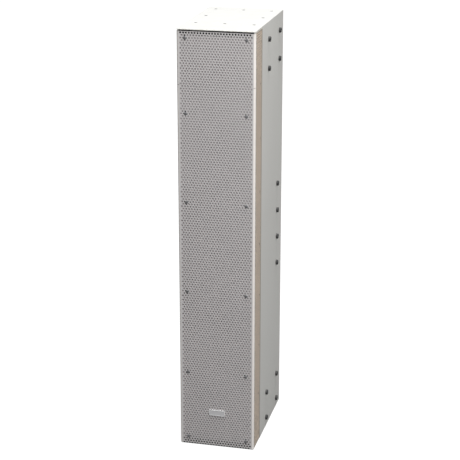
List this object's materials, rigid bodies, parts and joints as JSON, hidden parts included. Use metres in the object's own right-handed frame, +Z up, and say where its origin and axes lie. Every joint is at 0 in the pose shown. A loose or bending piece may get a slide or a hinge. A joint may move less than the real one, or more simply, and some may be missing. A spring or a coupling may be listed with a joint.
{
  "type": "column pa system",
  "caption": "Slim column loudspeaker: tall white cabinet with a wrap-round perforated steel grille, small woofers behind a column of dome tweeters, and rigging bolts.",
  "frame": {"origin": "on the floor plane, at the middle of the cabinet's underside", "axes": "+Z up along the column, -Y out of the grille, +X to the right of someone who looks at the grille"},
  "size_m": [0.169, 0.27, 0.896],
  "materials": {
    "cabinet_paint": "white textured satin paint on birch plywood",
    "grille_paint": "white satin powder coat on perforated steel",
    "baffle_paint": "matt black paint on plywood",
    "birch_ply": "bare birch plywood",
    "zinc_steel": "zinc plated steel",
    "black_steel": "black powder coat",
    "bar_aluminium": "brushed extrusion",
    "ferrite": "dull ferrite and plated steel",
    "cone_paper": "coated cone with a rubber half-roll surround",
    "black_plastic": "moulded, fine grain",
    "black_foam": "open-cell acoustic foam",
    "wadding": "polyester wadding",
    "copper_wire": "enamelled winding",
    "circuit_board": "green circuit board",
    "badge_silver": "blank satin plate",
    "gasket_rubber": "closed-cell sealing strip"
  },
  "bodies": {
    "cabinet": {"side_panel_left": "cabinet_paint", "side_panel_right": "cabinet_paint", "top_panel": "cabinet_paint", "bottom_panel": "cabinet_paint", "back_panel": "cabinet_paint", "baffle": "baffle_paint", "lower_brace": "birch_ply", "upper_brace": "birch_ply", "top_rigging_channel": "zinc_steel", "bottom_rigging_channel": "zinc_steel", "middle_rail_left": "zinc_steel", "middle_rail_right": "zinc_steel", "grille": "grille_paint", "grille_foam": "black_foam", "grille_rail_left": "black_steel", "grille_rail_right": "black_steel", "badge": "badge_silver", "tweeter_bar": "bar_aluminium", "crossover_board": "circuit_board", "crossover_coil": "copper_wire", "crossover_capacitor": "black_plastic", "connector_gasket": "gasket_rubber", "connector_plate": "black_steel", "input_socket": "black_plastic", "link_socket": "black_plastic", "terminal_block": "black_plastic", "damping_pad": "wadding", "woofer_basket_1": "black_steel", "woofer_magnet_1": "ferrite", "tweeter_module_1": "black_plastic", "woofer_basket_2": "black_steel", "woofer_magnet_2": "ferrite", "tweeter_module_2": "black_plastic", "woofer_basket_3": "black_steel", "woofer_magnet_3": "ferrite", "tweeter_module_3": "black_plastic", "woofer_basket_4": "black_steel", "woofer_magnet_4": "ferrite", "tweeter_module_4": "black_plastic", "woofer_basket_5": "black_steel", "woofer_magnet_5": "ferrite", "tweeter_module_5": "black_plastic", "woofer_basket_6": "black_steel", "woofer_magnet_6": "ferrite", "tweeter_module_6": "black_plastic", "woofer_basket_7": "black_steel", "woofer_magnet_7": "ferrite", "tweeter_module_7": "black_plastic", "woofer_basket_8": "black_steel", "woofer_magnet_8": "ferrite", "tweeter_module_8": "black_plastic"},
    "cone_1": {"woofer_cone_1": "cone_paper"},
    "cone_2": {"woofer_cone_2": "cone_paper"},
    "cone_3": {"woofer_cone_3": "cone_paper"},
    "cone_4": {"woofer_cone_4": "cone_paper"},
    "cone_5": {"woofer_cone_5": "cone_paper"},
    "cone_6": {"woofer_cone_6": "cone_paper"},
    "cone_7": {"woofer_cone_7": "cone_paper"},
    "cone_8": {"woofer_cone_8": "cone_paper"}
  },
  "joints": [
    {"name": "cone_travel_1", "type": "slide", "parent": "cabinet", "child": "cone_1", "axis": [0, -1, 0], "range_m": [-0.004, 0.004], "stiffness_N_per_m": 1200},
    {"name": "cone_travel_2", "type": "slide", "parent": "cabinet", "child": "cone_2", "axis": [0, -1, 0], "range_m": [-0.004, 0.004], "stiffness_N_per_m": 1200},
    {"name": "cone_travel_3", "type": "slide", "parent": "cabinet", "child": "cone_3", "axis": [0, -1, 0], "range_m": [-0.004, 0.004], "stiffness_N_per_m": 1200},
    {"name": "cone_travel_4", "type": "slide", "parent": "cabinet", "child": "cone_4", "axis": [0, -1, 0], "range_m": [-0.004, 0.004], "stiffness_N_per_m": 1200},
    {"name": "cone_travel_5", "type": "slide", "parent": "cabinet", "child": "cone_5", "axis": [0, -1, 0], "range_m": [-0.004, 0.004], "stiffness_N_per_m": 1200},
    {"name": "cone_travel_6", "type": "slide", "parent": "cabinet", "child": "cone_6", "axis": [0, -1, 0], "range_m": [-0.004, 0.004], "stiffness_N_per_m": 1200},
    {"name": "cone_travel_7", "type": "slide", "parent": "cabinet", "child": "cone_7", "axis": [0, -1, 0], "range_m": [-0.004, 0.004], "stiffness_N_per_m": 1200},
    {"name": "cone_travel_8", "type": "slide", "parent": "cabinet", "child": "cone_8", "axis": [0, -1, 0], "range_m": [-0.004, 0.004], "stiffness_N_per_m": 1200}
  ],
  "couplings": [
    {"joint": "cone_travel_2", "follows": "cone_travel_1", "ratio": 1},
    {"joint": "cone_travel_3", "follows": "cone_travel_1", "ratio": 1},
    {"joint": "cone_travel_4", "follows": "cone_travel_1", "ratio": 1},
    {"joint": "cone_travel_5", "follows": "cone_travel_1", "ratio": 1},
    {"joint": "cone_travel_6", "follows": "cone_travel_1", "ratio": 1},
    {"joint": "cone_travel_7", "follows": "cone_travel_1", "ratio": 1},
    {"joint": "cone_travel_8", "follows": "cone_travel_1", "ratio": 1}
  ]
}
